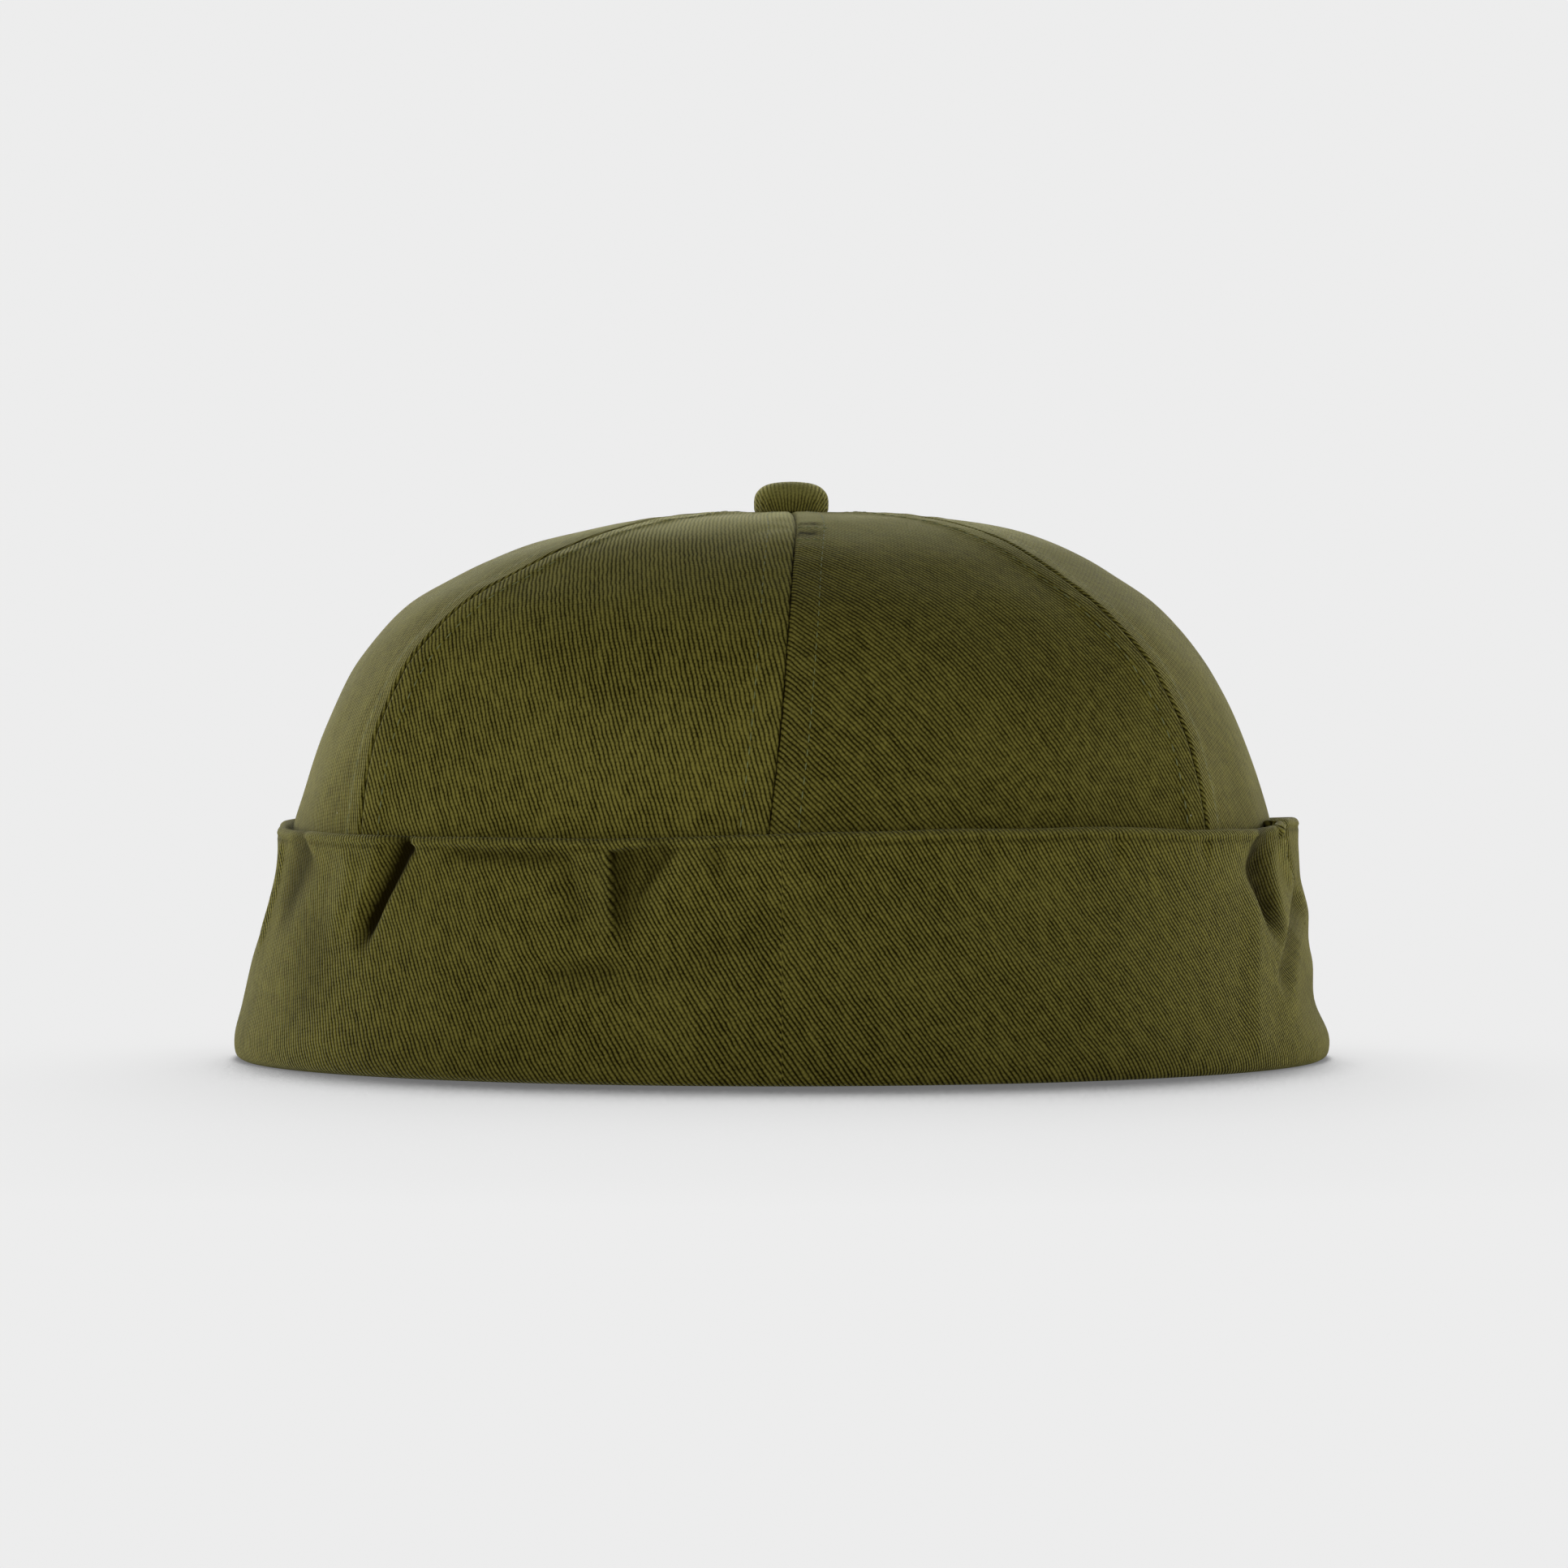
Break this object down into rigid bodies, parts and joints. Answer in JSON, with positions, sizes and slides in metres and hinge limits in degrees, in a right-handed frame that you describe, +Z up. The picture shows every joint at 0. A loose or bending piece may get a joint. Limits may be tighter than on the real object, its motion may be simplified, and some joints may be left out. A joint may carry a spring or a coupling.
{
  "type": "docker cap",
  "caption": "Brimless cotton cap with panels seamed into a rounded crown, a covered button and a turned-up cuff, hollow for a head.",
  "frame": {"origin": "on the surface the cap stands on, under the middle of its bounding box", "axes": "+Z up from the cuff's fold to the button, -Y the front of the cap, +X to the right as seen from the front"},
  "size_m": [0.204, 0.2118, 0.1073],
  "materials": {
    "cap_twill": "olive washed cotton twill",
    "button_twill": "olive washed cotton twill stretched over a button"
  },
  "bodies": {
    "root": {"panel_front_left": "cap_twill", "panel_front_right": "cap_twill", "panel_side_left": "cap_twill", "panel_side_right": "cap_twill", "panel_back_left": "cap_twill", "panel_back_right": "cap_twill", "cuff": "cap_twill", "button": "button_twill"}
  },
  "joints": []
}
